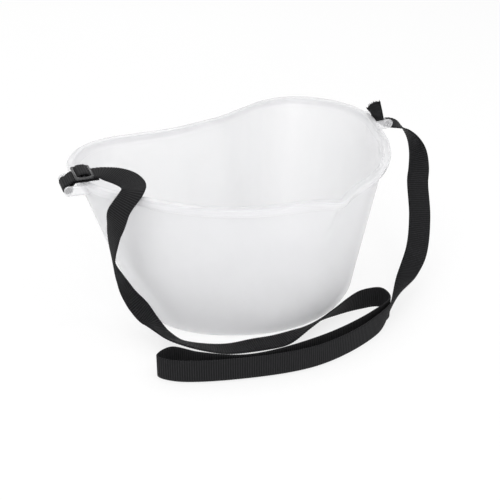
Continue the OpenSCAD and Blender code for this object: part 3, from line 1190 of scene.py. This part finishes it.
    def build(self, finish: Any) -> Any:
        """Builds the moulding in one piece and dresses it.

        Args:
            finish: The bucket's finish.

        Returns:
            The bucket.
        """
        piece = self.shell()
        lugs = [self.lug_mesh(lug) for lug in (LEFT_LUG, RIGHT_LUG)]
        for lug in lugs:
            union = piece.modifiers.new("lug", "BOOLEAN")
            union.operation = "UNION"
            union.solver = "EXACT"
            union.use_self = True
            union.object = lug
        applied(piece)
        for lug in lugs:
            bpy.data.objects.remove(lug)
        piece.name = "bucket_moulding"
        dress(piece, finish, self.sharp_deg)
        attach(piece, Body.BUCKET.value)
        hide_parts("bucket")
        return piece


@dataclass(frozen=True)
class Studio:
    """White floor, soft light and the camera at the photograph's place."""

    camera_at: Point = (-0.468, -0.6452, 0.4621)
    camera_turn: Point = (62.2, 0.0, -35.5)
    lens: float = 72.0
    sensor: float = 36.0
    clip: Spot = (0.01, 50.0)
    floor_z: float = -0.0003
    floor_half: float = 6.0
    floor_glow: float = 0.75
    sky: float = 0.8
    # Name of each lamp, its place, the point that it faces, the length of its sides and its watts
    lamps: tuple[tuple[str, Point, Point, float, float], ...] = (
        ("key", (-0.75, -0.35, 1.25), (0, 0, 0.05), 0.9, 4.0),
        ("fill", (0.9, -0.7, 0.9), (0, 0, 0.05), 0.9, 1.1),
        ("back", (0.25, 1.1, 1.0), (0, 0, 0.08), 0.8, 2.0),
        ("front", (-0.55, -1.05, 0.3), (0, 0, 0.06), 0.8, 4.6),
        ("gleam", (0.12, -0.75, 1.2), (0, 0, 0.1), 0.35, 1.3))

    def camera(self) -> None:
        """Places the camera."""
        data = bpy.data.cameras.new("camera")
        data.lens, data.sensor_width, data.sensor_height = self.lens, self.sensor, self.sensor
        data.clip_start, data.clip_end = self.clip
        camera = placed("camera", data)
        camera.location = self.camera_at
        camera.rotation_euler = [math.radians(a) for a in self.camera_turn]
        bpy.context.scene.camera = camera

    def floor(self) -> None:
        """Makes the white floor, which shows the object's shadow."""
        size, z = self.floor_half, self.floor_z
        corners = np.array([(-size, -size, z), (size, -size, z), (size, size, z), (-size, size, z)])
        piece = mesh_object("floor", corners, [(0, 1, 2, 3)])
        # Matt white paper, with a share of plain white that keeps its far parts as bright as the background
        mat, tree = blank_material("white_paper_floor")
        paper = add(tree, "ShaderNodeBsdfDiffuse", {"Color": linear("FAFAFA")})
        white = add(tree, "ShaderNodeEmission", {"Color": linear("FFFFFF"), "Strength": 1.0})
        rays = add(tree, "ShaderNodeLightPath")
        seen = rays.outputs["Is Camera Ray"]
        for kind in ("Is Glossy Ray", "Is Transmission Ray"):
            seen = add(tree, "ShaderNodeMath", {0: seen, 1: rays.outputs[kind]}, operation="MAXIMUM")
        share = add(tree, "ShaderNodeMath", {0: seen, 1: self.floor_glow}, operation="MULTIPLY")
        mix = add(tree, "ShaderNodeMixShader", {0: share, 1: paper, 2: white})
        add(tree, "ShaderNodeOutputMaterial", {"Surface": mix})
        piece.data.materials.append(mat)

    def world(self) -> None:
        """White to the camera, and a soft fill on the object."""
        world = bpy.data.worlds.new("white_room")
        bpy.context.scene.world = world
        world.use_nodes = True
        tree = world.node_tree
        tree.nodes.clear()
        rays = add(tree, "ShaderNodeLightPath")
        fill = add(tree, "ShaderNodeBackground", {"Color": linear("FFFFFF"), "Strength": self.sky})
        white = add(tree, "ShaderNodeBackground", {"Color": linear("FFFFFF"), "Strength": 1.0})
        mix = add(tree, "ShaderNodeMixShader", {0: rays.outputs["Is Camera Ray"], 1: fill, 2: white})
        add(tree, "ShaderNodeOutputWorld", {"Surface": mix})

    def light(self) -> None:
        """Adds the square soft lamps."""
        for name, place, aim, size, power in self.lamps:
            data = bpy.data.lights.new(name, "AREA")
            data.size, data.energy = size, power
            lamp = placed(name, data)
            lamp.location = place
            lamp.rotation_euler = (Vector(aim) - Vector(place)).to_track_quat("-Z", "Y").to_euler()


def main() -> None:
    """Builds the pieces in order and reports each one."""
    logging.basicConfig(level=logging.INFO, format="%(name)s: %(message)s")
    bpy.context.scene.view_settings.view_transform = "Standard"
    studio = Studio()
    studio.camera()
    webbing = Webbing()
    strap = Strap(webbing)
    band = strap.build()
    LOG.info("strap: %.0f mm long, %d faces", strap.length / MM, len(band.data.polygons))
    plate, hump = Slider(webbing).build(BlackAcetal().material())
    LOG.info("slider: %d faces, hump: %d faces", len(plate.data.polygons), len(hump.data.polygons))
    moulding = Bucket().build(NaturalPolypropylene().material())
    LOG.info("bucket: %d faces", len(moulding.data.polygons))
    studio.floor()
    studio.world()
    studio.light()


if __name__ == "__main__":
    main()
